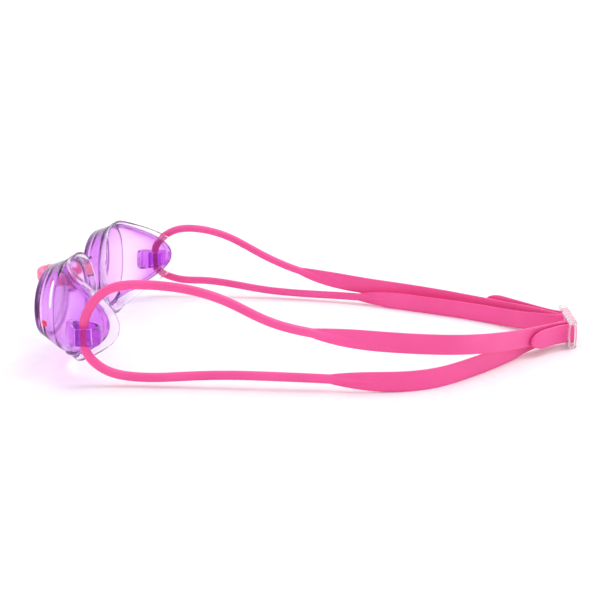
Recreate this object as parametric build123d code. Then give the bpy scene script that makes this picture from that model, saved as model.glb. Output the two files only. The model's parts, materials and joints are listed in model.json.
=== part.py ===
from build123d import *
import math
import os

os.makedirs("parts", exist_ok=True)

# Swimming goggles lying on a table: two tinted eye cups joined by a nose bridge,
# and one moulded strap that loops through both cups and a ladder buckle behind.
# Here the strap necks stand at Y = 0, the wearer looks along -Y, the table is Z = 0.
# The wearer's left side is +X. Millimetres.

# Overall places
wall_end_x = (9.5, 68.8)   # cup's nose side and temple side at its rear
anchor_x = wall_end_x[1] + 2.8     # strap neck, out from the middle
anchor_z = 18.3            # mid height of the strap neck
reach = 183.0              # strap neck back to the middle of the buckle

# Gasket behind the rim
gasket_depth = 4.2
gasket_outset = 1.2
gasket_inset = 0.8

# Eye cup: outlines at four depths, and the curve of its rear rim
window_y = -21.0           # front window's outer face
facet_depth = 7.8          # bevelled facet round the window
waist_y = -9.0             # where the side wall is full height
wall_end_y = 14.0          # side walls are drawn to here, then trimmed to the face
window_x = (16.0, wall_end_x[1] - 8.8)     # nose side and temple side
window_z = (11.0, 37.0)
facet_spread = 2.0         # how much wider the facet ends, and three times that below
waist_x = (11.0, wall_end_x[1] - 5.8)
waist_z = (gasket_outset, 40.0)
corner_power = 2.2         # 2 is an ellipse, more is squarer
cup_wall = 1.3
window_plate = 1.6
rim_low_x = 42.0           # where the rim is furthest forward
rim_low_y = -12.6
temple_wrap = 0.0328       # rim curves back by this times distance squared

# Strap anchor on the cup's temple side
plate_gap = 2.6            # neck centre line to the outer plate
plate_thick = 1.4
anchor_height = 6.2
tunnel_front = 3.2         # neck centre line to the tunnel's front face
bar_front = 3.5            # neck centre line to the rear bar
bar_depth = 3.0
bar_height = 5.2
tunnel_inner = 4.6         # neck centre line to the tunnel's inner face
anchor_root_x = wall_end_x[1] - 10.8       # where the anchor's root ends inside the wall
anchor_root_y = 6.5        # forward of the tunnel's front face

# Nose bridge and the pins that hold it
pin_x = 11.6
pin_y = -18.5
pin_r = 1.1
pin_clear = 0.1
eyelet_r = 2.3
bridge_z = (23.2, 28.2)
bridge_front_y = -34.4     # middle of the bridge's front arc
bridge_thick = 3.0
ear_thick = 1.2
ear_gap = 0.2
ear_half = 1.8
ear_root = 7.0             # ears reach this far from the pin towards the cup

# Strap
cord_d = 3.4
neck_d = 2.5
neck_lap = 0.5             # neck runs this far into each cord end
band_h = 7.4
band_t = 1.3
tail_gap = 0.4             # clear space between the wrapped strap and its tail
tail_pivot_y = -1.8        # tail's bending line, from the middle of the buckle
tail_elbow = (2.4, -3.6)   # from the bending line to where the tail leaves for its tip
approach = 7.8             # upper band turns to its slot from this far out and forward
approach_lift = 0.5
arc_share = 0.45           # of the shorter run beside a cord's corner that its arc may take

# Buckle
bar_w = 1.6
bar_t = 2.2
rail_t = 3.6
rail_h = 1.8
slots = 5
slot_clear = 0.2           # above and below the band
wrap_clear = 0.35          # strap off the bars that it goes round
lane_gap = 0.35            # between two bands in one slot, and from them to its bars
slot_pitch = bar_w + 2 * band_t + 4 * lane_gap
strap_rise = rail_h + slot_clear + band_h / 2 + 0.6     # band's centre height there

sides = {"left": 1, "right": -1}


def export(solid, name):
    export_step(solid, f"parts/{name}.step")


def box_between(low, high):
    size = [b - a for a, b in zip(low, high)]
    middle = [(a + b) / 2 for a, b in zip(low, high)]
    return Pos(*middle) * Box(*size)


def mirrored(solid, side):
    return solid if side == 1 else solid.mirror(Plane.YZ)


# ---------------------------------------------------------------- eye cups

def outline(y, across, height, grow=0.0):
    """Closed oval in the plane at depth y: a superellipse between the given X and Z limits."""
    centre_x = sum(across) / 2
    centre_z = sum(height) / 2
    half_x = (across[1] - across[0]) / 2 + grow
    half_z = (height[1] - height[0]) / 2 + grow
    points = []
    for k in range(24):
        turn = 2 * math.pi * k / 24
        c = math.cos(turn)
        s = math.sin(turn)
        x = centre_x + half_x * math.copysign(abs(c) ** (2 / corner_power), c)
        z = centre_z + half_z * math.copysign(abs(s) ** (2 / corner_power), s)
        points.append((x, y, z))
    return Wire([Edge.make_spline([Vector(*p) for p in points], periodic=True)])


def cup_body(grow=0.0, front=window_y):
    """Solid oval funnel from the window back past the face, grown outwards by grow."""
    facet_x = (window_x[0] - facet_spread, window_x[1] + facet_spread)
    facet_z = (window_z[0] - 3 * facet_spread, window_z[1] + facet_spread)
    facet_y = window_y + facet_depth
    stages = [
        outline(front, window_x, window_z, grow),
        outline(facet_y, facet_x, facet_z, grow),
        outline(waist_y, waist_x, waist_z, grow),
        outline(wall_end_y, wall_end_x, waist_z, grow),
    ]
    return Solid.make_loft(stages, ruled=True)


def rim_y(x):
    return rim_low_y + temple_wrap * max(x - rim_low_x, 0) ** 2


def behind_face(shift=0.0):
    """Everything behind the rim curve, moved back by shift."""
    low_x = -4
    high_x = 84
    curve = Spline(*[(x, rim_y(x) + shift) for x in range(low_x, high_x + 1, 8)])
    far = 90
    edge = Polyline((high_x, rim_y(high_x) + shift), (high_x, far), (low_x, far),
                    (low_x, rim_y(low_x) + shift))
    face = make_face([*curve.edges(), *edge.edges()])
    return Pos(0, 0, -20) * extrude(face, amount=90, dir=(0, 0, 1))


def anchor_loop():
    """Bow on the temple side: a plate outside the strap neck and a bar behind it."""
    plate_in = anchor_x + plate_gap
    plate_out = plate_in + plate_thick
    rear = bar_front + bar_depth
    corner = plate_thick * 0.55
    cheek_x = anchor_x - tunnel_inner
    z0 = anchor_z - anchor_height / 2
    plan = Polyline(
        (anchor_root_x, -tunnel_front - anchor_root_y),
        (anchor_x - 1.5, -tunnel_front - anchor_root_y / 2),
        (plate_out - corner, -tunnel_front - 2 * corner),
        (plate_out, -tunnel_front + corner),
        (plate_out, rear - corner),
        (plate_out - corner, rear),
        (plate_in, rear),
        (plate_in, -tunnel_front),
        (cheek_x, -tunnel_front),
        (cheek_x, rear - 1.0),
        (anchor_root_x, rear - 1.0),
        close=True)
    bow = Pos(0, 0, z0) * extrude(make_face(plan.edges()), amount=anchor_height, dir=(0, 0, 1))
    bar = box_between(
        (anchor_root_x, bar_front, anchor_z - bar_height / 2),
        (plate_in + plate_thick / 2, rear, anchor_z + bar_height / 2))
    long_edges = bar.edges().filter_by(Axis.X)
    return bow + fillet(long_edges, bar_depth * 0.35)


def nose_ears():
    """Two ears and an upright pin on the nose side that hold the bridge's eyelet."""
    lug = None
    for z in (bridge_z[0] - ear_gap - ear_thick, bridge_z[1] + ear_gap):
        plate = box_between((pin_x, pin_y - ear_half, z), (pin_x + ear_root, pin_y + ear_half, z + ear_thick))
        plate += Pos(pin_x, pin_y, z + ear_thick / 2) * Cylinder(ear_half, ear_thick)
        lug = plate if lug is None else lug + plate
    height = bridge_z[1] - bridge_z[0] + 2 * ear_gap + ear_thick
    return lug + Pos(pin_x, pin_y, sum(bridge_z) / 2) * Cylinder(pin_r, height)


def eye_cup():
    hollow = cup_body(-cup_wall, window_y + window_plate)
    shell = cup_body() + anchor_loop() + nose_ears()
    return shell - hollow - behind_face()


def gasket():
    ring = cup_body(gasket_outset) - cup_body(-cup_wall - gasket_inset, window_y + window_plate)
    return (ring & behind_face()) - behind_face(gasket_depth)


# ------------------------------------------------------------- nose bridge

def nose_bridge():
    """Half-round bow between the cups with an eyelet at each end."""
    height = bridge_z[1] - bridge_z[0]
    half = bridge_thick / 2

    def arc(offset):
        return ThreePointArc((-pin_x - offset, pin_y), (0, bridge_front_y - offset), (pin_x + offset, pin_y))

    outer = arc(half)
    inner = arc(-half)
    ends = [Line(outer @ 1, inner @ 1), Line(inner @ 0, outer @ 0)]
    bow = extrude(make_face([outer, inner, *ends]), amount=height, dir=(0, 0, 1))
    for sign in sides.values():
        bow += Pos(sign * pin_x, pin_y, height / 2) * Cylinder(eyelet_r, height)
        bow -= Pos(sign * pin_x, pin_y, height / 2) * Cylinder(pin_r + pin_clear, height)
    return Pos(0, 0, bridge_z[0]) * bow


# ------------------------------------------------------------------- strap

# Each route is a list of (share of anchor_x, share of reach, height). A band's route
# starts where its cord ends, and tapers from the cord's section to the band's in one run.
upper_cord_route = {
    "left": [(1.00, 0.004, 22.0), (1.007, 0.012, 30.0), (1.008, 0.058, 37.6), (1.01, 0.130, 37.6),
             (1.01, 0.215, 36.6), (1.01, 0.292, 32.0), (1.009, 0.362, 24.2), (1.003, 0.450, 20.4)],
    "right": [(1.00, 0.002, 22.0), (1.002, 0.012, 27.4), (1.004, 0.060, 33.0), (1.003, 0.125, 32.4),
              (1.00, 0.200, 28.8), (0.99, 0.275, 20.4), (0.965, 0.375, 12.8)],
}
lower_cord_route = {
    "left": [(1.00, 0.004, 14.8), (1.006, 0.012, 9.0), (1.007, 0.050, 4.0), (1.008, 0.130, 2.9),
             (1.008, 0.215, 4.3), (1.010, 0.300, 4.9), (1.015, 0.390, 4.6), (1.024, 0.485, 4.4)],
    "right": [(1.00, 0.004, 14.8), (1.004, 0.020, 10.4), (1.004, 0.068, 7.2), (1.004, 0.130, 7.9),
              (1.00, 0.205, 6.0), (0.985, 0.280, 3.6), (0.952, 0.365, 2.8), (0.900, 0.450, 3.0),
              (0.838, 0.530, 3.4)],
}
upper_band_route = {
    "left": [(0.994, 0.550, 18.2), (0.980, 0.612, 17.2), (0.925, 0.690, 15.6), (0.800, 0.762, 13.4),
             (0.610, 0.826, 10.8), (0.400, 0.882, 8.2)],
    "right": [(0.905, 0.480, 9.4), (0.860, 0.565, 7.7), (0.770, 0.640, 7.4), (0.640, 0.735, 6.8),
              (0.515, 0.820, 5.9), (0.375, 0.885, 6.0)],
}
lower_band_route = {
    "left": [(1.043, 0.580, 3.8), (1.010, 0.645, 3.7), (0.935, 0.700, 3.7), (0.790, 0.752, 3.7),
             (0.600, 0.812, 3.7), (0.400, 0.866, 3.8)],
    "right": [(0.715, 0.625, 3.7), (0.625, 0.690, 3.7), (0.530, 0.760, 3.7), (0.425, 0.825, 3.7),
              (0.310, 0.880, 3.9)],
}
# Where a lower band gives way to the strap's middle: out from its slot, forward of it, height.
pass_start = {"left": (13.35, 14.768, 4.6), "right": (10.844, 13.67, 4.6)}
tail_tip = {"left": (0.372, 0.903, 6.2), "right": (0.530, 0.838, 8.0)}


def placed(route, side):
    """Route's points in millimetres; a band's lower edge never passes below the table."""
    lowest = band_h / 2 if route in (upper_band_route, lower_band_route) else cord_d / 2
    return [(across * anchor_x, along * reach, max(height, lowest))
            for across, along, height in route[side]]


def corner_radii(points):
    """Tangent arcs that leave a straight piece of each run between them."""
    radii = []
    for before, here, after in zip(points, points[1:], points[2:]):
        run_in = Vector(*here) - Vector(*before)
        run_out = Vector(*after) - Vector(*here)
        turn = math.radians(run_in.get_angle(run_out))
        radii.append(arc_share * min(run_in.length, run_out.length) / math.tan(turn / 2))
    return radii


def tube(points, diameter):
    path = FilletPolyline(*points, radius=corner_radii(points))
    start = Plane(origin=path @ 0, z_dir=path % 0)
    solid = sweep(start * Circle(diameter / 2), path=path)
    expected = math.pi * diameter ** 2 / 4 * path.length
    print(f"tube {path.length:.1f} mm long, volume ratio {solid.volume / expected:.4f},"
          f" radii {min(corner_radii(points)):.1f} to {max(corner_radii(points)):.1f}")
    return solid


def ribbon(points, heights, thicknesses, before=None, after=None):
    """Band on edge through the points: upright mitred cross-sections joined by flat facets.

    before and after are neighbours' points, which only set the mitre of the end sections.
    """
    lefts = []
    rights = []
    spots = [Vector(*point[:2]) for point in points]
    runs = [two - one for one, two in zip(spots, spots[1:])]
    runs.insert(0, spots[0] - Vector(*before[:2]) if before else runs[0])
    runs.append(Vector(*after[:2]) - spots[-1] if after else runs[-1])
    for k, here in enumerate(spots):
        run_in, run_out = runs[k], runs[k + 1]
        normals = [Vector(-run.Y, run.X).normalized() for run in (run_in, run_out)]
        mitre = (normals[0] + normals[1]).normalized()
        offset = mitre * (thicknesses[k] / 2 / mitre.dot(normals[0]))
        lefts.append(here + offset)
        rights.append(here - offset)
    rings = []
    for k, point in enumerate(points):
        low = point[2] - heights[k] / 2
        high = point[2] + heights[k] / 2
        rings.append([Vector(lefts[k].X, lefts[k].Y, low), Vector(rights[k].X, rights[k].Y, low),
                      Vector(rights[k].X, rights[k].Y, high), Vector(lefts[k].X, lefts[k].Y, high)])
    faces = [Face(Wire.make_polygon(rings[0])), Face(Wire.make_polygon(rings[-1]))]
    for one, two in zip(rings, rings[1:]):
        for i in range(4):
            j = (i + 1) % 4
            faces.append(Face(Wire.make_polygon([one[i], one[j], two[j]])))
            faces.append(Face(Wire.make_polygon([one[i], two[j], two[i]])))
    solid = Solid(Shell(faces))
    return solid if solid.volume > 0 else -solid


def band_from_cord(points, after=None):
    """Band whose first section is as tall and as thick as the cord that it grows from."""
    rest = len(points) - 1
    return ribbon(points, [cord_d] + [band_h] * rest, [cord_d] + [band_t] * rest, after=after)


def cord_loop(side):
    """Round cord from both bands forward to the thin neck that stands in the anchor."""
    top = tube(placed(upper_cord_route, side), cord_d)
    bottom = tube(placed(lower_cord_route, side), cord_d)
    high = placed(upper_cord_route, side)[0]
    low = placed(lower_cord_route, side)[0]
    neck = Pos(anchor_x, (high[1] + low[1]) / 2, (high[2] + low[2]) / 2)
    neck *= Cylinder(neck_d / 2, high[2] - low[2] + 2 * neck_lap)
    return top + bottom + neck


def thread_x(number, lane):
    """Slots count out from the middle one; lane 0 is a slot's middle, -1 and 1 its halves."""
    lane_step = (slot_pitch - bar_w) / 4 + 0.05
    return number * slot_pitch + lane * lane_step


rear_y = reach + bar_t / 2 + wrap_clear + band_t / 2
front_y = reach - rail_t / 2 - band_t / 2 - wrap_clear


def upper_band(side):
    """Down to the buckle, in through a slot, round its outer bar and into the end slot."""
    points = [placed(upper_cord_route, side)[-1], *placed(upper_band_route, side)]
    points.append((thread_x(1, 1) + approach, front_y - approach, strap_rise + approach_lift))
    points.append((thread_x(1, 1), front_y, strap_rise))
    points.append((thread_x(1, 1), rear_y, strap_rise))
    points.append((thread_x(2, 0), rear_y, strap_rise))
    points.append((thread_x(2, 0), reach + tail_pivot_y + tail_gap + band_t / 2, strap_rise))
    return band_from_cord(points)


def lower_run(side):
    """Lower band's points, the last tied to the slot that the strap's middle goes through."""
    out, forward, height = pass_start[side]
    end = (thread_x(1, -1) + out, front_y - forward, max(height, band_h / 2))
    return [*placed(lower_band_route, side), end]


def lower_band(side):
    points = [placed(lower_cord_route, side)[-1], *lower_run(side)]
    return band_from_cord(points, after=(thread_x(1, -1), front_y))


def back_pass():
    """Strap's middle: in through one slot, behind two bars, and out through the other."""
    left = lower_run("left")
    right = [(-x, y, z) for x, y, z in lower_run("right")]
    x = thread_x(1, -1)
    points = [
        left[-1],
        (x, front_y, strap_rise),
        (x, rear_y, strap_rise),
        (-x, rear_y, strap_rise),
        (-x, front_y, strap_rise),
        right[-1],
    ]
    flat = len(points)
    return ribbon(points, [band_h] * flat, [band_t] * flat, before=left[-2], after=right[-2])


def tail(side):
    """Free end folded back along the outside, rounded in its height."""
    across, along, height = tail_tip[side]
    tip = Vector(across * anchor_x, along * reach)
    start = Vector(thread_x(2, 0), reach + tail_pivot_y)
    elbow = start + Vector(*tail_elbow)
    run = tip - elbow
    stations = [(start, 1.0), (elbow, 1.0), (elbow + run * 0.5, 1.0), (elbow + run * 0.8, 0.92), (tip, 0.5)]
    points = []
    for spot, _ in stations:
        share = (spot - start).length / (tip - start).length
        points.append((spot.X, spot.Y, strap_rise + share * (height - strap_rise)))
    return ribbon(points, [band_h * tall for _, tall in stations], [band_t] * len(stations))


# ------------------------------------------------------------------ buckle

def buckle():
    """Ladder of upright bars between two rails."""
    half = slots * slot_pitch / 2 + bar_w / 2
    inner = band_h / 2 + slot_clear
    body = None
    for low in (strap_rise - inner - rail_h, strap_rise + inner):
        rail = box_between((-half, reach - rail_t / 2, low), (half, reach + rail_t / 2, low + rail_h))
        body = rail if body is None else body + rail
    for k in range(slots + 1):
        x = (k - slots / 2) * slot_pitch
        body += Pos(x, reach, strap_rise) * Box(bar_w, bar_t, 2 * inner + 0.2)
    return body


# ---------------------------------------------------------------- assembly

pieces = {"nose_bridge": nose_bridge(), "buckle": buckle(), "back_pass": back_pass()}
cup = eye_cup()
seal = gasket()
for name, sign in sides.items():
    pieces[f"{name}_lens"] = mirrored(cup, sign)
    pieces[f"{name}_gasket"] = mirrored(seal, sign)
    pieces[f"{name}_cord"] = mirrored(cord_loop(name), sign)
    pieces[f"{name}_upper_band"] = mirrored(upper_band(name), sign)
    pieces[f"{name}_lower_band"] = mirrored(lower_band(name), sign)
    pieces[f"{name}_tail"] = mirrored(tail(name), sign)

# The origin is the middle of the whole object's footprint, on the table.
boxes = [piece.bounding_box() for piece in pieces.values()]
low = [min(tuple(box.min)[k] for box in boxes) for k in range(3)]
high = [max(tuple(box.max)[k] for box in boxes) for k in range(3)]
shift = (-(low[0] + high[0]) / 2, -(low[1] + high[1]) / 2, -low[2])

for name, piece in pieces.items():
    export(Pos(*shift) * piece, name)

print("size", [round(b - a, 2) for a, b in zip(low, high)])
print("shift", [round(s, 3) for s in shift])
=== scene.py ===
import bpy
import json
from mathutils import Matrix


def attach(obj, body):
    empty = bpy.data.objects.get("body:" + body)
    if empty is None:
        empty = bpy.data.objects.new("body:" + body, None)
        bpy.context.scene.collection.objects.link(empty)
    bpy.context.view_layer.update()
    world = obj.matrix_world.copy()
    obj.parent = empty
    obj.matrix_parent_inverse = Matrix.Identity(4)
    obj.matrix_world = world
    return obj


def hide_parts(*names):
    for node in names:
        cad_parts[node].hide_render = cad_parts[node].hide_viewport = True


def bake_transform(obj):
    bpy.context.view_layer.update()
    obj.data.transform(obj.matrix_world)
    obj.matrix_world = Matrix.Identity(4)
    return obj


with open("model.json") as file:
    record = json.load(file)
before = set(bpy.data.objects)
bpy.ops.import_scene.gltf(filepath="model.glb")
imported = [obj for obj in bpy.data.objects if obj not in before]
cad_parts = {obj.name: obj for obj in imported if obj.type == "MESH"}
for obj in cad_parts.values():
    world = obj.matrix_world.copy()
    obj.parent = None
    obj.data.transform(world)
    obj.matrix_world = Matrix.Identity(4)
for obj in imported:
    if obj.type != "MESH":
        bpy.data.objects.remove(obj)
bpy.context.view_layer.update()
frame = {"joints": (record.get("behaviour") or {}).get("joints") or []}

import json
import math
import bpy
import numpy as np
from mathutils import Vector

# Everything below is worked out in millimetres with the strap necks at Y = 0 and the
# table at Z = 0. The frame's swing joint says where that is in the row frame.
swingJoint = next(j for j in frame["joints"] if j["name"] == "strap_swing")
neckZ = 18.3
swingSpot = np.array([0.0, 5.0, neckZ])
rowOffset = np.array(swingJoint["pos_m"]) - swingSpot / 1000
sides = {"left": 1.0, "right": -1.0}


def toRow(points):
    return np.reshape(points, (-1, 3)) / 1000 + rowOffset


def rowSpot(x, y, z):
    return Vector(toRow([x, y, z])[0])


# mesh helpers

def addPiece(name, verts, faces, material, slotName, body=None, shadeTint=None):
    mesh = bpy.data.meshes.new(name)
    mesh.from_pydata(toRow(verts).tolist(), [], faces)
    # painted shade for each vertex, read by the clear materials
    if shadeTint is not None:
        mesh.attributes.new("shadeTint", "FLOAT", "POINT").data.foreach_set("value", shadeTint)
    piece = bpy.data.objects.new(name, mesh)
    bpy.context.scene.collection.objects.link(piece)
    mesh.materials.append(material)
    mesh.shade_smooth()
    mesh.set_sharp_from_angle(angle=math.radians(38))
    if body:
        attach(piece, body)
    return piece


def gridFaces(rows, cols, wrapRows=False):
    # quads between neighbouring rows, the columns always close on themselves
    r = np.arange(rows if wrapRows else rows - 1)[:, None]
    c = np.arange(cols)[None, :]
    r2 = (r + 1) % rows
    c2 = (c + 1) % cols
    quads = np.stack([r * cols + c, r * cols + c2, r2 * cols + c2, r2 * cols + c], -1)
    return quads.reshape(-1, 4).tolist()


def capped(grid):
    # a skin of closed rows, shut at both ends by fans round each end row's middle
    rows, cols = grid.shape[:2]
    faces = gridFaces(rows, cols)
    poles = np.stack([grid[0].mean(0), grid[-1].mean(0)])
    verts = np.concatenate([grid.reshape(-1, 3), poles])
    c = np.arange(cols)
    c2 = (c + 1) % cols
    first = rows * cols
    last = (rows - 1) * cols
    faces += np.stack([np.full(cols, first), c2, c], -1).tolist()
    faces += np.stack([np.full(cols, first + 1), last + c, last + c2], -1).tolist()
    return verts, faces


def outward(verts, faces):
    # the faces turned round if the volume they enclose comes out negative
    verts = verts.reshape(-1, 3)
    triangles = np.array([(f[0], f[k], f[k + 1]) for f in faces for k in range(1, len(f) - 1)])
    a, b, c = (verts[triangles[:, k]] for k in range(3))
    volume = np.sum(a * np.cross(b, c))
    return faces if volume > 0 else [f[::-1] for f in faces]


def joined(parts, side=1.0):
    # several (verts, faces) pairs as one, mirrored to the side asked for
    verts = np.concatenate([v.reshape(-1, 3) for v, _ in parts]) * np.array([side, 1.0, 1.0])
    faces = []
    start = 0
    for v, f in parts:
        mirrored = v.reshape(-1, 3) * np.array([side, 1.0, 1.0])
        faces += [[i + start for i in face] for face in outward(mirrored, f)]
        start += len(mirrored)
    return verts, faces


def smoothLine(points, perRun=12):
    # uniform cubic B-spline: each point is a weighted mean of four neighbours, ends repeated
    p = np.array(points, float)
    p = np.concatenate([p[:1], p[:1], p, p[-1:], p[-1:]])
    t = np.linspace(0, 1, perRun, endpoint=False)[None, :, None]
    a, b, c, d = p[:-3, None], p[1:-2, None], p[2:-1, None], p[3:, None]
    curve = ((1 - t) ** 3 * a + (3 * t ** 3 - 6 * t ** 2 + 4) * b
             + (-3 * t ** 3 + 3 * t ** 2 + 3 * t + 1) * c + t ** 3 * d) / 6
    return np.concatenate([curve.reshape(-1, p.shape[1]), p[-1:]])


def arcLength(path):
    step = np.linalg.norm(np.diff(path, axis=0), axis=1)
    return np.concatenate([[0.0], np.cumsum(step)])


def resample(values, spacing):
    # the same line with its first three columns evenly spaced along its length
    s = arcLength(values[:, :3])
    count = int(round(s[-1] / spacing)) + 1
    even = np.linspace(0, s[-1], count)
    return np.stack([np.interp(even, s, column) for column in values.T], 1)


def unit(v):
    return v / np.maximum(np.linalg.norm(v, axis=-1, keepdims=True), 1e-9)


def frames(path):
    # level sideways direction and the one square to it, kept from flipping along the line
    along = unit(np.gradient(path, axis=0))
    level = unit(np.stack([along[:, 1], -along[:, 0], np.zeros(len(path))], 1))
    turn = np.sign(np.sum(level[1:] * level[:-1], 1))
    turn[turn == 0] = 1
    level = level * np.concatenate([[1.0], np.cumprod(turn)])[:, None]
    return along, level, np.cross(along, level)


def oval(turns, power):
    # superellipse: cosine and sine raised to 2/power, keeping their signs
    c, s = np.cos(turns), np.sin(turns)
    k = 2 / power
    return np.sign(c) * np.abs(c) ** k, np.sign(s) * np.abs(s) ** k


def carried(path, level, upright, halfThick, halfTall, power, ring=28):
    # a superellipse carried along the path: thickness sideways, height upright
    turns = np.linspace(0, 2 * math.pi, ring, endpoint=False)[None, :]
    a, b = oval(turns, np.broadcast_to(power, len(path))[:, None])
    return (path[:, None] + level[:, None] * (a * halfThick[:, None])[..., None]
            + upright[:, None] * (b * halfTall[:, None])[..., None])


# material helpers

def newMaterial(name):
    material = bpy.data.materials.new(name)
    material.use_nodes = True
    tree = material.node_tree
    return material, tree, tree.nodes["Principled BSDF"], tree.nodes["Material Output"]


def noiseNode(tree, scale, detail=3.0):
    coords = tree.nodes.new("ShaderNodeTexCoord")
    noise = tree.nodes.new("ShaderNodeTexNoise")
    noise.inputs["Scale"].default_value = scale
    noise.inputs["Detail"].default_value = detail
    tree.links.new(coords.outputs["Object"], noise.inputs["Vector"])
    return noise


def varyColour(tree, shader, low, high, scale):
    noise = noiseNode(tree, scale)
    ramp = tree.nodes.new("ShaderNodeValToRGB")
    ramp.color_ramp.elements[0].position = 0.35
    ramp.color_ramp.elements[0].color = (*low, 1)
    ramp.color_ramp.elements[1].position = 0.65
    ramp.color_ramp.elements[1].color = (*high, 1)
    tree.links.new(noise.outputs["Fac"], ramp.inputs["Fac"])
    tree.links.new(ramp.outputs["Color"], shader.inputs["Base Color"])


def varyRoughness(tree, shader, low, high, scale):
    noise = noiseNode(tree, scale)
    spread = tree.nodes.new("ShaderNodeMapRange")
    spread.inputs["To Min"].default_value = low
    spread.inputs["To Max"].default_value = high
    tree.links.new(noise.outputs["Fac"], spread.inputs["Value"])
    tree.links.new(spread.outputs["Result"], shader.inputs["Roughness"])


def addGrain(tree, shader, scale, strength, distance):
    noise = noiseNode(tree, scale)
    bump = tree.nodes.new("ShaderNodeBump")
    bump.inputs["Strength"].default_value = strength
    bump.inputs["Distance"].default_value = distance
    tree.links.new(noise.outputs["Fac"], bump.inputs["Height"])
    tree.links.new(bump.outputs["Normal"], shader.inputs["Normal"])


def lampsThrough(tree, shader, output, shadeTint):
    # lamps shine through the clear material and tint what lies behind it
    path = tree.nodes.new("ShaderNodeLightPath")
    clear = tree.nodes.new("ShaderNodeBsdfTransparent")
    clear.inputs["Color"].default_value = (*shadeTint, 1)
    mix = tree.nodes.new("ShaderNodeMixShader")
    tree.links.new(path.outputs["Is Shadow Ray"], mix.inputs["Fac"])
    tree.links.new(shader.outputs["BSDF"], mix.inputs[1])
    tree.links.new(clear.outputs["BSDF"], mix.inputs[2])
    tree.links.new(mix.outputs["Shader"], output.inputs["Surface"])


def multiplyAdd(tree, value, factor, added):
    step = tree.nodes.new("ShaderNodeMath")
    step.operation = "MULTIPLY_ADD"
    step.inputs[1].default_value = factor
    tree.links.new(value, step.inputs[0])
    tree.links.new(added, step.inputs[2])
    return step.outputs["Value"]


def glassy(name, stops, shadeTint, ior, rough, blend, edgeShade, clear=1.0):
    # clear plastic whose colour deepens along its three stops with painted shade, taken
    # from a shade attribute on the piece and added where the wall is seen edge-on
    material, tree, shader, output = newMaterial(name)
    shader.inputs["Transmission Weight"].default_value = clear
    shader.inputs["IOR"].default_value = ior
    # painted shade: the colour darkens where the wall is seen edge-on
    edge = tree.nodes.new("ShaderNodeLayerWeight")
    edge.inputs["Blend"].default_value = blend
    shadeAttribute = tree.nodes.new("ShaderNodeAttribute")
    shadeAttribute.attribute_name = "shadeTint"
    cloudAndShade = multiplyAdd(tree, noiseNode(tree, 70).outputs["Fac"], 0.08, shadeAttribute.outputs["Fac"])
    place = multiplyAdd(tree, edge.outputs["Facing"], edgeShade, cloudAndShade)
    ramp = tree.nodes.new("ShaderNodeValToRGB")
    ramp.color_ramp.elements.new(0.5)
    for element, position, colour in zip(ramp.color_ramp.elements, (0.04, 0.5, 1.0), stops):
        element.position = position
        element.color = (*colour, 1)
    tree.links.new(place, ramp.inputs["Fac"])
    tree.links.new(ramp.outputs["Color"], shader.inputs["Base Color"])
    varyRoughness(tree, shader, rough, rough * 2.2, 90)
    lampsThrough(tree, shader, output, shadeTint)
    return material


def rubbery(name, low, high, glow, rough):
    material, tree, shader, _ = newMaterial(name)
    varyColour(tree, shader, low, high, 45)
    varyRoughness(tree, shader, rough, rough + 0.12, 180)
    addGrain(tree, shader, 1500, 0.12, 0.0002)
    shader.inputs["Subsurface Weight"].default_value = glow
    shader.inputs["Subsurface Radius"].default_value = (1.0, 0.35, 0.5)
    shader.inputs["Subsurface Scale"].default_value = 0.0015
    shader.inputs["IOR"].default_value = 1.42
    return material


def paint(name, colour, rough):
    material, tree, shader, _ = newMaterial(name)
    varyColour(tree, shader, tuple(c * 0.96 for c in colour), colour, 120)
    varyRoughness(tree, shader, rough, rough + 0.1, 200)
    return material


# in each clear material the colour darkens along its stops as painted shade grows
lensTint = glassy("lensTint", ((0.94, 0.75, 1.0), (0.76, 0.28, 0.90), (0.16, 0.02, 0.25)),
                  (0.74, 0.60, 0.84), 1.34, 0.07, 0.42, 0.22)
clearSilicone = glassy("clearSilicone", ((0.98, 0.96, 0.985), (0.80, 0.68, 0.86), (0.50, 0.34, 0.62)),
                       (0.93, 0.89, 0.95), 1.28, 0.03, 0.32, 0.75, 0.96)
clearPlastic = glassy("clearPlastic", ((0.99, 0.94, 0.96), (0.95, 0.82, 0.88), (0.86, 0.64, 0.74)),
                      (0.96, 0.88, 0.92), 1.30, 0.04, 0.40, 0.6, 0.78)
strapPink = rubbery("strapPink", (0.84, 0.080, 0.310), (0.90, 0.098, 0.350), 0.18, 0.40)
bridgePink = rubbery("bridgePink", (0.88, 0.15, 0.34), (0.92, 0.19, 0.39), 0.25, 0.36)
printWhite = paint("printWhite", (0.92, 0.92, 0.93), 0.35)
printRed = paint("printRed", (0.80, 0.02, 0.03), 0.35)
print("materials ready")


# eye cups

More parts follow.
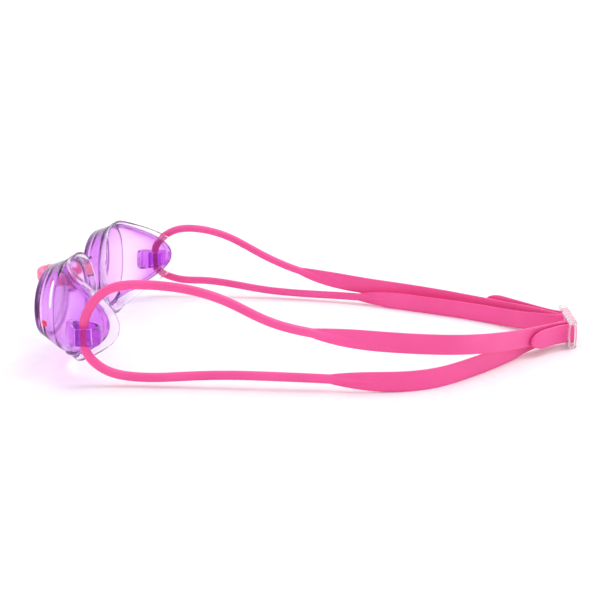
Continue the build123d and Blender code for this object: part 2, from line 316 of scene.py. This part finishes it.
cup = {
    "windowY": -21.0, "facetDepth": 7.8, "windowX": (16.0, 60.0), "windowZ": (11.0, 36.6),
    "facetX": (12.2, 62.0), "facetZ": (4.4, 39.2), "fullX": (10.5, 68.8), "fullZ": (2.2, 40.0),
    "fullY": -10.0, "fullLowY": -5.0, "wallEndY": 14.0,
    "power": 2.2, "wall": 1.3, "plate": 1.6,
    "rimLowX": 42.0, "rimLowY": -12.6, "templeWrap": 0.0328,
    "flange": 2.6, "flangeStep": 0.7, "turns": 144,
    # window's rows: share of its size, at one growth and painted shade
    "windowShares": (0.04, 0.5, 0.9), "windowGrow": -0.45, "windowShade": 0.12,
    # rounded edge: depth behind the window, growth, painted shade
    "edgeRows": ((0.0, -0.45, 0.4), (0.12, -0.15, 0.8), (0.45, 0.0, 0.95), (1.30, 0.0, 0.88),
                 (1.60, 0.0, 0.30)),
    # facet: share of its depth, growth, painted shade
    "facetRows": ((0.45, 0.0, 0.28), (0.7, 0.0, 0.22), (0.93, 0.0, 0.20), (0.96, -0.12, 0.85),
                  (1.0, -0.30, 0.80)),
    # wall: share of the way to the flange, painted shade
    "wallStart": 0.12, "wallGrow": -0.15, "wallShade": 0.05,
    "wallRows": ((0.12, 0.0), (0.3, 0.0), (0.5, 0.02), (0.7, 0.14), (0.85, 0.32), (1.0, 0.48)),
    # flange: share of the way to the rim, share of the flange's step, painted shade
    "flangeRows": ((0.10, 0.0, 0.58), (0.22, 0.6, 0.50), (0.36, 0.95, 0.34), (0.6, 1.0, 0.42),
                   (0.85, 1.0, 0.50), (0.97, 0.8, 0.55), (1.0, 0.5, 0.55)),
    # inside, back to the window: shares along the wall, then share and growth round the plate's corner, at
    # one painted shade
    "insideShares": (0.12, 0.3, 0.5, 0.7, 0.85, 1.0), "insideShade": 0.06,
    "cornerRows": ((0.3, 0.0), (0.55, 0.0), (0.72, -0.2), (0.86, -0.7), (0.96, -1.5), (1.0, -2.4)),
}


def cupSpot(turns, y, grow):
    # oval at depth y: the window's size, widening evenly along the facet, then easing out
    # to full size; only the temple side keeps widening evenly to the end
    c = cup
    facetY = c["windowY"] + c["facetDepth"]
    f = np.clip((y - c["windowY"]) / c["facetDepth"], 0, 1)
    ease = 1 - np.clip(1 - (y - facetY) / (c["fullY"] - facetY), 0, 1) ** 1.8
    easeLow = 1 - np.clip(1 - (y - facetY) / (c["fullLowY"] - facetY), 0, 1) ** 1.8
    run = np.clip((y - facetY) / (c["wallEndY"] - facetY), 0, 1)

    def limit(window, facet, full, share):
        return window + (facet - window) * f + (full - facet) * share

    temple = limit(c["windowX"][1], c["facetX"][1], c["fullX"][1], run)
    nose = limit(c["windowX"][0], c["facetX"][0], c["fullX"][0], ease)
    top = limit(c["windowZ"][1], c["facetZ"][1], c["fullZ"][1], ease)
    bottom = limit(c["windowZ"][0], c["facetZ"][0], c["fullZ"][0], easeLow)
    a, b = oval(turns, c["power"])
    x = (temple + nose) / 2 + ((temple - nose) / 2 + grow) * a
    z = (top + bottom) / 2 + ((top - bottom) / 2 + grow) * b
    return np.stack([x, np.broadcast_to(y, x.shape), z], -1)


def rimDepth(turns):
    # where the wall meets the face curve, found by stepping the depth until it agrees
    y = np.full(turns.shape, cup["rimLowY"])
    for _ in range(40):
        x = np.maximum(cupSpot(turns, y, 0.0)[..., 0] - cup["rimLowX"], 0)
        y = 0.5 * y + 0.5 * (cup["rimLowY"] + cup["templeWrap"] * x ** 2)
    return y


def cupSkin():
    # one closed skin, row by row: window, rounded edge, facet, wall, stepped flange, rim,
    # and back down the inside; each row also has its depth of painted shade
    turns = np.linspace(0, 2 * math.pi, cup["turns"], endpoint=False)
    rim = rimDepth(turns)
    front = cup["windowY"]
    depth = cup["facetDepth"]
    facetEnd = front + depth
    flangeAt = np.maximum(rim - cup["flange"], facetEnd + 0.15)
    inner = -cup["wall"]
    rows = []
    rowShades = []

    def addRow(y, grow, shadeTint, share=1.0):
        spot = cupSpot(turns, np.broadcast_to(y, turns.shape), grow)
        middle = spot.mean(0)
        rows.append(middle + (spot - middle) * share)
        rowShades.append(shadeTint)

    for share in cup["windowShares"]:
        addRow(front, cup["windowGrow"], cup["windowShade"], share)
    for step, grow, shadeTint in cup["edgeRows"]:
        addRow(front + step, grow, shadeTint)
    for share, grow, shadeTint in cup["facetRows"]:
        addRow(front + depth * share, grow, shadeTint)
    start, grow = cup["wallStart"], cup["wallGrow"]
    addRow(front + (depth + start), grow, cup["wallShade"])
    for share, shadeTint in cup["wallRows"]:
        addRow(facetEnd + start + (flangeAt - facetEnd - start) * share, grow + grow * share, shadeTint)
    for share, grow, shadeTint in cup["flangeRows"]:
        addRow(flangeAt + (rim - flangeAt) * share, grow * cup["flangeStep"], shadeTint)
    addRow(rim, inner + 0.3, 0.50)
    addRow(rim - 0.3, inner, 0.45)
    low = rim - 0.3
    for share in cup["insideShares"]:
        addRow(low - (low - facetEnd) * share, inner, 0.42 * (1 - share) ** 2)
    floorY = front + cup["plate"]
    for share, grow in cup["cornerRows"]:
        addRow(facetEnd - (facetEnd - floorY) * share, inner + grow, cup["insideShade"])
    for share in (0.6, 0.04):
        addRow(floorY, inner + grow, cup["insideShade"], share)
    grid = np.stack(rows)
    shadeTint = np.broadcast_to(np.array(rowShades)[:, None], grid.shape[:2])
    # painted shade, deeper round the anchor
    away = (grid[..., 1] ** 2 + (grid[..., 2] - anchor["middleZ"]) ** 2) / anchor["glow"] ** 2
    shadeTint = shadeTint + 0.38 * np.exp(-away) * (grid[..., 0] > 56) * (1 - shadeTint)
    # and painted shade a little deeper towards the top
    shadeTint = shadeTint + 0.16 * np.clip((grid[..., 2] - 24) / 14, 0, 1) * (1 - shadeTint)
    return grid, shadeTint


anchor = {
    "middleZ": neckZ, "glow": 7.5, "hole": (70.55, 0.15), "holeHalf": (3.65, 3.35),
    # turn in degrees from the temple side towards the rear, reach from the hole's middle,
    # half height
    "loop": ((0, 4.93, 3.1), (28, 5.42, 3.2), (52, 7.05, 3.5), (70, 6.75, 3.1), (90, 6.35, 2.7),
             (112, 6.5, 2.7), (135, 6.0, 3.2), (180, 5.5, 3.6), (212, 6.9, 4.2), (228, 9.2, 4.6),
             (240, 9.2, 4.7), (258, 7.3, 4.5), (285, 6.0, 4.0), (310, 5.45, 3.5), (335, 5.1, 3.2)),
}


def anchorLoop():
    # bow round the strap neck: at each turn round the neck's hole the section runs from the
    # hole's edge out to the bow's outline, as a rounded oblong of that turn's height
    a = anchor
    knots = np.array(a["loop"])
    knots = np.concatenate([knots - [360, 0, 0], knots, knots + [360, 0, 0]])
    degrees = np.linspace(0, 360, 96, endpoint=False)
    wide = np.concatenate([degrees - 360, degrees, degrees + 360])
    kernel = np.hanning(13) / np.hanning(13).sum()
    reach, tall = (np.convolve(np.interp(wide, knots[:, 0], knots[:, k]), kernel, "same")[96:192]
                   for k in (1, 2))
    turns = np.radians(degrees)
    c, d = np.cos(turns), np.sin(turns)
    holeR = (np.abs(c / a["holeHalf"][0]) ** 3 + np.abs(d / a["holeHalf"][1]) ** 3) ** (-1 / 3)
    p, q = oval(np.linspace(0, 2 * math.pi, 32, endpoint=False)[None, :], 4.0)
    radius = (reach + holeR)[:, None] / 2 + (reach - holeR)[:, None] / 2 * p
    grid = np.stack([a["hole"][0] + radius * c[:, None], a["hole"][1] + radius * d[:, None],
                     a["middleZ"] + tall[:, None] * q], -1)
    # painted shade: near black on the hole's front face, less of it where the bow runs into the wall
    front = np.clip(1.3 - np.abs(degrees - 262) / 42, 0, 1)[:, None]
    root = np.clip(1.2 - np.abs(degrees - 232) / 30, 0, 1)[:, None]
    shadeTint = 0.42 - 0.34 * root * (p > 0) + 0.58 * front * (p < -0.6)
    return grid, shadeTint


noseLug = {"pinX": 11.6, "pinY": -18.5, "pinR": 1.1, "earHalf": 1.8, "earThick": 1.2,
           "bridgeZ": (23.2, 28.2), "gap": 0.2, "reach": 5.0}


def noseEars():
    # two flat ears with a round end, and the upright pin between them
    n = noseLug
    parts = []
    low, high = n["bridgeZ"]
    for z in (low - n["gap"] - n["earThick"] / 2, high + n["gap"] + n["earThick"] / 2):
        s = np.linspace(0, 1, 15)
        x = n["pinX"] - n["earHalf"] + (n["reach"] + n["earHalf"]) * s ** 1.6
        roundness = np.sqrt(np.clip(1 - ((n["pinX"] - x) / n["earHalf"]).clip(0, 1) ** 2, 0.02, 1))
        path = np.stack([x, np.full_like(x, n["pinY"]), np.full_like(x, z)], 1)
        side = np.tile([0.0, 1.0, 0.0], (15, 1))
        up = np.tile([0.0, 0.0, 1.0], (15, 1))
        halfTall = np.full(15, n["earThick"] / 2)
        parts.append(carried(path, side, up, n["earHalf"] * roundness, halfTall, 5.0, 24))
    z = np.linspace(low - 0.6, high + 0.6, 5)
    path = np.stack([np.full(5, n["pinX"]), np.full(5, n["pinY"]), z], 1)
    side = np.tile([1.0, 0.0, 0.0], (5, 1))
    up = np.tile([0.0, 1.0, 0.0], (5, 1))
    parts.append(carried(path, side, up, np.full(5, n["pinR"]), np.full(5, n["pinR"]), 2.0, 24))
    return parts


seal = {"turns": 144, "sole": 1.0,
        # share of the full depth at each turn in degrees, from the temple side over the top
        "depth": ((0, 1.0), (25, 0.92), (60, 0.55), (95, 0.38), (135, 0.55), (180, 0.80), (225, 0.75),
                  (270, 0.70), (320, 0.92), (360, 1.0)),
        # section round the skirt: growth outwards, depth behind the rim
        "outer": ((-0.35, -0.15), (0.15, 0.1), (0.55, 0.9), (0.85, 1.9), (1.05, 3.0), (1.15, 3.9)),
        "inner": ((0.9, 4.2), (0.35, 4.15), (0.1, 3.4), (-0.15, 2.2), (-0.5, 1.0), (-1.0, 0.35),
                  (-1.1, -0.1))}


def sealSkin():
    # the skirt's section, offset from the rim curve, carried all the way round; shallower
    # on the nose side, and lowered underneath to stand on the table
    turns = np.linspace(0, 2 * math.pi, seal["turns"], endpoint=False)
    rim = rimDepth(turns)
    knots = np.array(seal["depth"])
    full = np.interp(np.degrees(turns), knots[:, 0], knots[:, 1])
    rows = []
    for grow, depth in seal["outer"] + seal["inner"]:
        spot = cupSpot(turns, rim + depth * full, grow)
        drop = seal["sole"] * np.clip(-np.sin(turns), 0, 1) ** 2 * np.clip(grow / 1.15, 0, 1)
        rows.append(spot - drop[:, None] * np.array([0, 0, 1]))
    grid = np.stack(rows)
    grid[..., 2] = np.maximum(grid[..., 2], 0.02)
    return grid


def facetMark(start, end, share, halfWide, bulge=0.08):
    # thin raised stroke on the facet between two turns of the oval
    s = np.linspace(0, 1, 25)
    turns = start + (end - start) * s
    depth = cup["windowY"] + cup["facetDepth"] * share
    path = cupSpot(turns, np.full_like(turns, depth), bulge)
    ahead = cupSpot(turns, np.full_like(turns, depth - 1), bulge)
    across = unit(path - ahead)
    along = unit(np.gradient(path, axis=0))
    out = np.cross(along, across)
    ends = np.sqrt(np.clip(1 - (2 * s - 1) ** 8, 0.01, 1))
    return carried(path, across, out, halfWide * ends, np.full(25, 0.07), 3.0, 16)


for name, side in sides.items():
    shell, shellShade = cupSkin()
    loop, loopShade = anchorLoop()
    skins = [capped(shell), (loop, gridFaces(*loop.shape[:2], wrapRows=True))]
    skins += [capped(grid) for grid in noseEars()]
    verts, faces = joined(skins, side)
    # painted shade per vertex: the cup's rows, its two end poles, the bow round the neck, and a flat share
    # on the nose ears
    shadeTint = np.concatenate([shellShade.ravel(), [0.1, 0.1], loopShade.ravel()])
    shadeTint = np.concatenate([shadeTint, np.full(len(verts) - len(shadeTint), 0.2)])
    piece = addPiece(f"{name}EyeCup", verts, faces, lensTint, "lens_tint", "front", shadeTint)
    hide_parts(f"{name}_lens")
    grid = sealSkin()
    skin = (grid, gridFaces(*grid.shape[:2], wrapRows=True))
    piece = addPiece(f"{name}Seal", *joined([skin], side), clearSilicone, "gasket_clear", "front")
    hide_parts(f"{name}_gasket")
# a plain white bar and a red dot on the left cup's facet
for name, mark, finish in (("Stripe", (0.82, 0.18, 0.82, 0.50), printWhite),
                           ("Dot", (-0.10, -0.24, 0.50, 1.0), printRed)):
    stroke = capped(facetMark(*mark))
    addPiece(f"leftFacet{name}", *joined([stroke]), finish, "lens_tint", "front")
print("eye cups ready")


# nose bridge

bridge = {"pinX": 11.6, "pinY": -18.5, "frontY": -34.4, "lowZ": 23.2, "highZ": 28.2,
          "thick": 3.0, "eyeletR": 2.3, "holeR": 1.2}


def bridgeBow():
    # half-round bow through three points, its section a squared oval, a little taller in front
    b = bridge
    rise = b["pinY"] - b["frontY"]
    radius = (b["pinX"] ** 2 + rise ** 2) / (2 * rise)
    centreY = b["frontY"] + radius
    reach = math.atan2(b["pinX"], centreY - b["pinY"])
    turns = np.linspace(-math.pi + abs(math.pi - reach), math.pi - abs(math.pi - reach), 61)
    path = np.stack([radius * np.sin(turns), centreY - radius * np.cos(turns),
                     np.full(61, (b["lowZ"] + b["highZ"]) / 2)], 1)
    _, level, upright = frames(path)
    tall = (b["highZ"] - b["lowZ"]) / 2 * (1 - 0.12 * np.abs(np.sin(turns)))
    thick = b["thick"] / 2 * (0.8 + 0.2 * np.cos(turns))
    return carried(path, level, upright, thick, tall, 3.6, 32)


def eyelet(x):
    # ring of squared section round the pin
    b = bridge
    turns = np.linspace(0, 2 * math.pi, 48, endpoint=False)[:, None]
    ring = np.linspace(0, 2 * math.pi, 24, endpoint=False)[None, :]
    p, q = oval(ring, 4.0)
    radius = (b["eyeletR"] + b["holeR"]) / 2 + (b["eyeletR"] - b["holeR"]) / 2 * p
    z = (b["lowZ"] + b["highZ"]) / 2 + (b["highZ"] - b["lowZ"]) / 2 * q
    return np.stack([x + radius * np.cos(turns), b["pinY"] + radius * np.sin(turns),
                     np.broadcast_to(z, (48, 24))], -1)


parts = [capped(bridgeBow())]
for side in sides.values():
    grid = eyelet(side * bridge["pinX"])
    parts.append((grid, gridFaces(48, 24, wrapRows=True)))
piece = addPiece("noseBridge", *joined(parts), bridgePink, "bridge_silicone", "front")
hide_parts("nose_bridge")
print("nose bridge ready")


# strap

strap = {
    "anchorX": 71.6, "reach": 183.0, "cord": 3.4, "neck": 2.5, "bandTall": 7.4, "bandThick": 1.3,
    "neckLowZ": 15.2, "neckHighZ": 21.6, "spear": 21.0, "widen": 26.0, "ring": 64,
    "slotPitch": 5.6, "barWide": 1.6, "buckleZ": 6.3, "railThick": 3.6, "wrapClear": 0.35,
    "pivotY": -1.8, "tipLong": 9.0, "approach": 7.8, "approachLift": 0.5,
}
# Each route is a list of (share of anchorX, share of reach, height), from front to back.
upperCord = {
    "left": [(1.00, 0.012, 29.0), (1.008, 0.053, 37.3), (1.01, 0.130, 37.8),
             (1.01, 0.215, 36.4), (1.01, 0.292, 31.8), (1.009, 0.362, 24.2), (1.003, 0.450, 20.4)],
    "right": [(1.00, 0.012, 27.0), (1.004, 0.055, 32.8), (1.003, 0.125, 32.6),
              (1.00, 0.200, 28.8), (0.99, 0.275, 20.4), (0.965, 0.375, 12.8)],
}
lowerCord = {
    "left": [(1.00, 0.012, 9.4), (1.007, 0.050, 4.0), (1.008, 0.130, 2.9),
             (1.008, 0.215, 4.3), (1.010, 0.300, 4.9), (1.015, 0.390, 4.6), (1.024, 0.485, 4.4)],
    "right": [(1.00, 0.018, 10.6), (1.004, 0.068, 7.2), (1.004, 0.130, 7.9),
              (1.00, 0.205, 6.0), (0.985, 0.280, 3.6), (0.952, 0.365, 2.8), (0.900, 0.450, 3.0),
              (0.838, 0.530, 3.4)],
}
upperBand = {
    "left": [(0.994, 0.550, 18.2), (0.980, 0.612, 17.2), (0.925, 0.690, 15.6), (0.800, 0.762, 13.4),
             (0.610, 0.826, 10.8), (0.400, 0.882, 8.2)],
    "right": [(0.905, 0.480, 9.4), (0.860, 0.565, 7.7), (0.770, 0.640, 7.4), (0.640, 0.735, 6.8),
              (0.515, 0.820, 5.9), (0.375, 0.885, 6.0)],
}
lowerBand = {
    "left": [(1.043, 0.580, 3.8), (1.010, 0.645, 3.7), (0.935, 0.700, 3.7), (0.790, 0.752, 3.7),
             (0.600, 0.812, 3.7), (0.400, 0.866, 3.8), (0.250, 0.904, 4.6)],
    "right": [(0.715, 0.625, 3.7), (0.625, 0.690, 3.7), (0.530, 0.760, 3.7), (0.425, 0.825, 3.7),
              (0.310, 0.880, 3.9), (0.215, 0.910, 4.6)],
}
tailTip = {"left": (0.372, 0.903, 6.2), "right": (0.530, 0.838, 8.0)}


def threadX(number, lane):
    lane = lane * ((strap["slotPitch"] - strap["barWide"]) / 4 + 0.05)
    return number * strap["slotPitch"] + lane


rearY = strap["reach"] + strap["bandThick"] + strap["wrapClear"]
frontY = strap["reach"] - strap["railThick"] / 2 - strap["bandThick"] / 2 - strap["wrapClear"]
tailX = threadX(2, 0)
upX = threadX(1, 1)
passX = threadX(1, -1)


def placed(points):
    return [(x * strap["anchorX"], y * strap["reach"], z) for x, y, z in points]


def sideLine(name):
    # control points from the tail's pivot, round the bar, along the upper strand, down
    # through the neck and back along the lower strand
    z = strap["buckleZ"]
    x0 = strap["anchorX"]
    near = strap["approach"]
    line = [(tailX, strap["reach"] + strap["pivotY"], z), (tailX, rearY - 1.2, z), (tailX - 0.2, rearY, z),
            (upX + 0.2, rearY, z), (upX, rearY - 1.2, z), (upX, frontY, z),
            (upX + near, frontY - near, z + strap["approachLift"])]
    line += placed(upperBand[name])[::-1] + placed(upperCord[name])[::-1]
    line += [(x0, 0.35, strap["neckHighZ"] + 2.0), (x0, 0.2, strap["neckHighZ"]), (x0, 0.15, neckZ),
             (x0, 0.2, strap["neckLowZ"]), (x0, 0.35, strap["neckLowZ"] - 2.2)]
    line += placed(lowerCord[name]) + placed(lowerBand[name])
    line += [(passX, frontY, z), (passX, rearY - 1.0, z), (passX - 0.6, rearY, z)]
    return np.array(line)


def nearestLength(path, spot):
    return arcLength(path)[np.argmin(np.linalg.norm(path - np.array(spot), axis=1))]


def smoothStep(x):
    x = np.clip(x, 0, 1)
    return x * x * (3 - 2 * x)


def strandGrid(name):
    # the strap's section carried along one side's line: a round cord, a thin neck, and
    # bands on edge, with the cord's end tapering to a point along each band's middle
    path = resample(smoothLine(sideLine(name), 24), 0.8)
    s = arcLength(path)
    x0 = strap["anchorX"]
    upperEnd = placed(upperCord[name])[-1]
    lowerEnd = placed(lowerCord[name])[-1]
    sUpper = nearestLength(path, upperEnd)
    sLower = nearestLength(path, lowerEnd)
    # distance past the cord's end, along either band
    away = np.maximum(sUpper - s, s - sLower)
    cordHalf = strap["cord"] / 2
    plain = strap["bandThick"] / 2
    flat = np.clip(away / strap["widen"], 0, 1)
    tall = cordHalf + (strap["bandTall"] / 2 - cordHalf) * (1 - (1 - flat) ** 2.4)
    atAnchor = (path[:, 1] < 3) * (path[:, 0] > x0 - 3)
    aboveLow = smoothStep(path[:, 2] - strap["neckLowZ"] + 0.5)
    belowHigh = smoothStep(strap["neckHighZ"] + 0.5 - path[:, 2])
    inNeck = aboveLow * belowHigh * atAnchor
    neckCut = 1 - (1 - strap["neck"] / strap["cord"]) * inNeck
    tall = tall * neckCut
    _, level, upright = frames(path)
    # the web is a thin oblong; over it lies the cord's ridge, an oval that narrows to a
    # point, and the thicker of the two is the section at each height
    turns = np.linspace(0, 2 * math.pi, strap["ring"], endpoint=False)[None, :]
    height = np.sin(turns) * tall[:, None]
    web = plain * (1 - np.abs(np.sin(turns)) ** 6) ** (1 / 6) * smoothStep(away / 1.5)[:, None]
    left = np.clip(1 - away / strap["spear"], 0, 1)
    ridgeTall = (cordHalf * left ** 0.6 * neckCut + 1e-4)[:, None]
    ridgeThick = (plain * 0.6 + (cordHalf - plain * 0.6) * left ** 0.55)[:, None] * neckCut[:, None]
    ridge = ridgeThick * np.sqrt(np.clip(1 - (height / ridgeTall) ** 2, 0, 1))
    thick = np.maximum(web, ridge) * np.sign(np.cos(turns).round(9))
    grid = path[:, None] + level[:, None] * thick[..., None] + upright[:, None] * height[..., None]
    grid[..., 2] = np.maximum(grid[..., 2], 0.0)
    return grid


def tailGrid(name):
    # the free end: a band whose height closes in a half circle at the tip
    across, back, height = tailTip[name]
    tip = np.array([across * strap["anchorX"], back * strap["reach"], height])
    start = np.array([tailX, strap["reach"] + strap["pivotY"] + 1.4, strap["buckleZ"]])
    elbow = start + [2.4, -5.0, 0.0]
    rest = tip - elbow
    points = [start, start + [0.1, -1.4, 0], elbow, elbow + rest * 0.35, elbow + rest * 0.7, tip]
    path = resample(smoothLine(points, 20), 0.35)
    s = arcLength(path)
    left = s[-1] - s
    half = strap["bandTall"] / 2
    tall = half * np.sqrt(np.clip(1 - (1 - np.clip(left / strap["tipLong"], 0, 1)) ** 2, 0.004, 1))
    thick = np.full_like(s, strap["bandThick"] / 2) * (0.55 + 0.45 * np.sqrt(np.clip(left / 0.8, 0, 1)))
    _, level, upright = frames(path)
    return carried(path, level, upright, thick, tall, 5.0, 36)


halves = {name: strandGrid(name) for name in sides}


def strapSkin():
    parts = []
    for name, side in sides.items():
        verts, faces = capped(halves[name])
        parts.append((verts * np.array([side, 1.0, 1.0]), faces))
    x = np.linspace(passX - 0.4, -passX + 0.4, 24)
    path = np.stack([x, np.full(24, rearY), np.full(24, strap["buckleZ"])], 1)
    _, level, upright = frames(path)
    parts.append(capped(carried(path, level, upright, np.full(24, strap["bandThick"] / 2),
                                np.full(24, strap["bandTall"] / 2), 5.0, 40)))
    return joined(parts)


piece = addPiece("strapLoop", *strapSkin(), strapPink, "strap_silicone", "strap")
strapNodes = [f"{name}_{part}" for name in sides for part in ("cord", "upper_band", "lower_band")]
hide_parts(*strapNodes, "back_pass")
for name, side in sides.items():
    tail = joined([capped(tailGrid(name))], side)
    piece = addPiece(f"{name}Tail", *tail, strapPink, "strap_silicone")
    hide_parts(f"{name}_tail")
    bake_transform(piece)
print("strap ready")


# buckle

buckle = {"slots": 5, "railTall": 1.8, "clear": 0.2, "barThick": 2.2, "ridgeHigh": 0.22}


def buckleRail(z, ridged):
    # bar along X with rounded ends, the top one with cross ridges
    half = buckle["slots"] * strap["slotPitch"] / 2 + strap["barWide"] / 2
    x = np.linspace(-half, half, 161)
    end = np.sqrt(np.clip(1 - (np.clip(np.abs(x) - half + 0.9, 0, 0.9) / 0.9) ** 2, 0.03, 1))
    path = np.stack([x, np.full_like(x, strap["reach"]), np.full_like(x, z)], 1)
    _, level, upright = frames(path)
    wave = np.abs(np.sin(x / strap["slotPitch"] * math.pi * 1.5)) ** 3
    thick = (strap["railThick"] / 2 - (buckle["ridgeHigh"] * wave if ridged else 0)) * (0.6 + 0.4 * end)
    tall = (buckle["railTall"] / 2 - (buckle["ridgeHigh"] * wave if ridged else 0)) * end
    return carried(path, level, upright, thick, tall, 3.4, 28)


def buckleBar(x, wide, thick):
    half = strap["bandTall"] / 2 + buckle["clear"] + 0.4
    z = np.linspace(-half, half, 25)
    flare = 1 + 0.35 * (np.abs(z) / half) ** 6
    path = np.stack([np.full(25, x), np.full(25, strap["reach"]), z + strap["buckleZ"]], 1)
    sideways = np.tile([1.0, 0.0, 0.0], (25, 1))
    back = np.tile([0.0, 1.0, 0.0], (25, 1))
    return carried(path, sideways, back, wide / 2 * flare, thick / 2 * flare, 2.6, 24)


def buckleRing(x):
    # oval ring at the buckle's end, upright across the rails
    turns = np.linspace(0, 2 * math.pi, 64, endpoint=False)[:, None]
    c, d = oval(turns, 2.6)
    ring = np.linspace(0, 2 * math.pi, 16, endpoint=False)[None, :]
    half = strap["bandTall"] / 2 + buckle["clear"] + buckle["railTall"] - 0.55
    wide = strap["railThick"] / 2 - 0.5
    y = strap["reach"] + (wide + 0.5 * np.cos(ring)) * c
    z = strap["buckleZ"] + (half + 0.5 * np.cos(ring)) * d
    return np.stack([x + 0.75 * np.sin(ring) + 0 * turns, y, z], -1)


inner = strap["bandTall"] / 2 + buckle["clear"] + buckle["railTall"] / 2
parts = [capped(buckleRail(strap["buckleZ"] - inner, False)),
         capped(buckleRail(strap["buckleZ"] + inner, True))]
for k in range(buckle["slots"] + 1):
    x = (k - buckle["slots"] / 2) * strap["slotPitch"]
    last = k in (0, buckle["slots"])
    grid = buckleRing(x) if last else buckleBar(x, strap["barWide"], buckle["barThick"])
    parts.append((grid, gridFaces(*grid.shape[:2], wrapRows=True)) if last else capped(grid))
piece = addPiece("ladderBuckle", *joined(parts), clearPlastic, "buckle_clear", "strap")
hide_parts("buckle")
print("buckle ready")


# floor, light and camera

stage = {"floorHalf": 12.0, "skyPower": 0.95, "farSky": (1.08, 1.08, 1.08), "nearSky": (1.0, 0.97, 1.0),
         "keyPower": 0.9, "keyDegrees": 30.0, "keyFrom": (-0.25, 0.30, 1.0)}

mesh = bpy.data.meshes.new("floor")
h = stage["floorHalf"]
mesh.from_pydata([(-h, -h, 0), (h, -h, 0), (h, h, 0), (-h, h, 0)], [], [(0, 1, 2, 3)])
floor = bpy.data.objects.new("floor", mesh)
bpy.context.scene.collection.objects.link(floor)
mesh.materials.append(paint("floorWhite", (0.96, 0.96, 0.96), 0.6))

# sky: bright beyond the object and overhead, a little dimmer behind the camera
world = bpy.data.worlds.new("softSky")
bpy.context.scene.world = world
world.use_nodes = True
tree = world.node_tree
sky = tree.nodes["Background"]
coords = tree.nodes.new("ShaderNodeTexCoord")
axes = tree.nodes.new("ShaderNodeSeparateXYZ")
ramp = tree.nodes.new("ShaderNodeValToRGB")
spread = tree.nodes.new("ShaderNodeMapRange")
spread.inputs["From Min"].default_value = -1
tree.links.new(coords.outputs["Generated"], axes.inputs["Vector"])
tree.links.new(axes.outputs["X"], spread.inputs["Value"])
tree.links.new(spread.outputs["Result"], ramp.inputs["Fac"])
ramp.color_ramp.elements[0].position = 0.25
ramp.color_ramp.elements[0].color = (*stage["farSky"], 1)
ramp.color_ramp.elements[1].position = 0.85
ramp.color_ramp.elements[1].color = (*stage["nearSky"], 1)
tree.links.new(ramp.outputs["Color"], sky.inputs["Color"])
sky.inputs["Strength"].default_value = stage["skyPower"]

lamp = bpy.data.lights.new("softKey", "SUN")
lamp.energy = stage["keyPower"]
lamp.angle = math.radians(stage["keyDegrees"])
key = bpy.data.objects.new("softKey", lamp)
key.rotation_euler = (-Vector(stage["keyFrom"])).to_track_quat("-Z", "Y").to_euler()
bpy.context.scene.collection.objects.link(key)

view = {"azimuth": 93.63, "elevation": 13.33, "lens": 73.08, "spot": (488.7, 104.4, 131.7)}
camera = bpy.data.cameras.new("camera")
camera.lens = view["lens"]
camera.sensor_width = 36.0
camera.clip_start = 0.01
shot = bpy.data.objects.new("camera", camera)
shot.location = rowSpot(*view["spot"])
shot.rotation_euler = (math.radians(90 - view["elevation"]), 0, math.radians(view["azimuth"]))
bpy.context.scene.collection.objects.link(shot)
bpy.context.scene.camera = shot
bpy.context.scene.view_settings.view_transform = "Standard"
print("stage ready")
